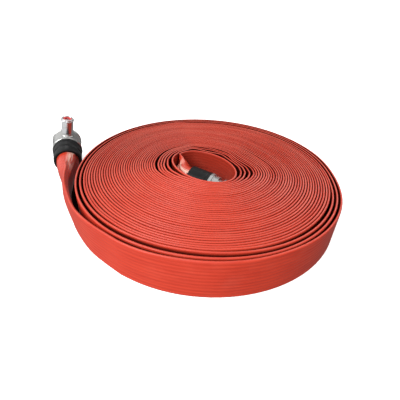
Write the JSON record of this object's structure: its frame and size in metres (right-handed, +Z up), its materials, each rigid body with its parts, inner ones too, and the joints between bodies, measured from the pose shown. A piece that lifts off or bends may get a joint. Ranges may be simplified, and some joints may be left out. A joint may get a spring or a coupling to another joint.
{
  "type": "rolled fire hose",
  "caption": "Flat fire hose rolled on edge, with a socket coupling with a sprung pull-knob release on its outer end and a grooved spigot coupling in the middle of the roll.",
  "frame": {"origin": "middle of the whole outline, on the floor that the roll stands on", "axes": "+Z up along the roll's axis, +X across the roll and away from the socket coupling, -Y the front of the roll"},
  "size_m": [0.5705, 0.4694, 0.1008],
  "materials": {
    "hose_red": "semi-gloss ribbed cover",
    "black_rubber": "soft sheen",
    "cast_aluminium": "polished",
    "knob_chrome": "polished",
    "insert_red": "gloss",
    "steel": "bright"
  },
  "bodies": {
    "hose": {"hose_roll": "hose_red", "hose_outer_turn": "hose_red", "hose_tail": "hose_red", "hose_end_socket": "hose_red", "hose_neck": "hose_red", "hose_end_spigot": "hose_red", "socket_body": "cast_aluminium", "socket_seal": "black_rubber", "socket_wire": "steel", "socket_sleeve_cover": "black_rubber", "plunger_gland": "steel", "plunger_spring": "steel", "spigot_body": "cast_aluminium", "spigot_wire": "steel", "spigot_sleeve_cover": "black_rubber"},
    "release_plunger": {"plunger_pin": "steel", "pull_knob": "knob_chrome", "knob_insert": "insert_red", "knob_screw": "steel"}
  },
  "joints": [
    {"name": "knob_pull", "type": "slide", "parent": "hose", "child": "release_plunger", "axis": [0.1773, 0.002, 0.9842], "range_m": [0, 0.006], "stiffness_N_per_m": 800, "springref_m": -0.012, "deforming": ["plunger_spring"]}
  ]
}
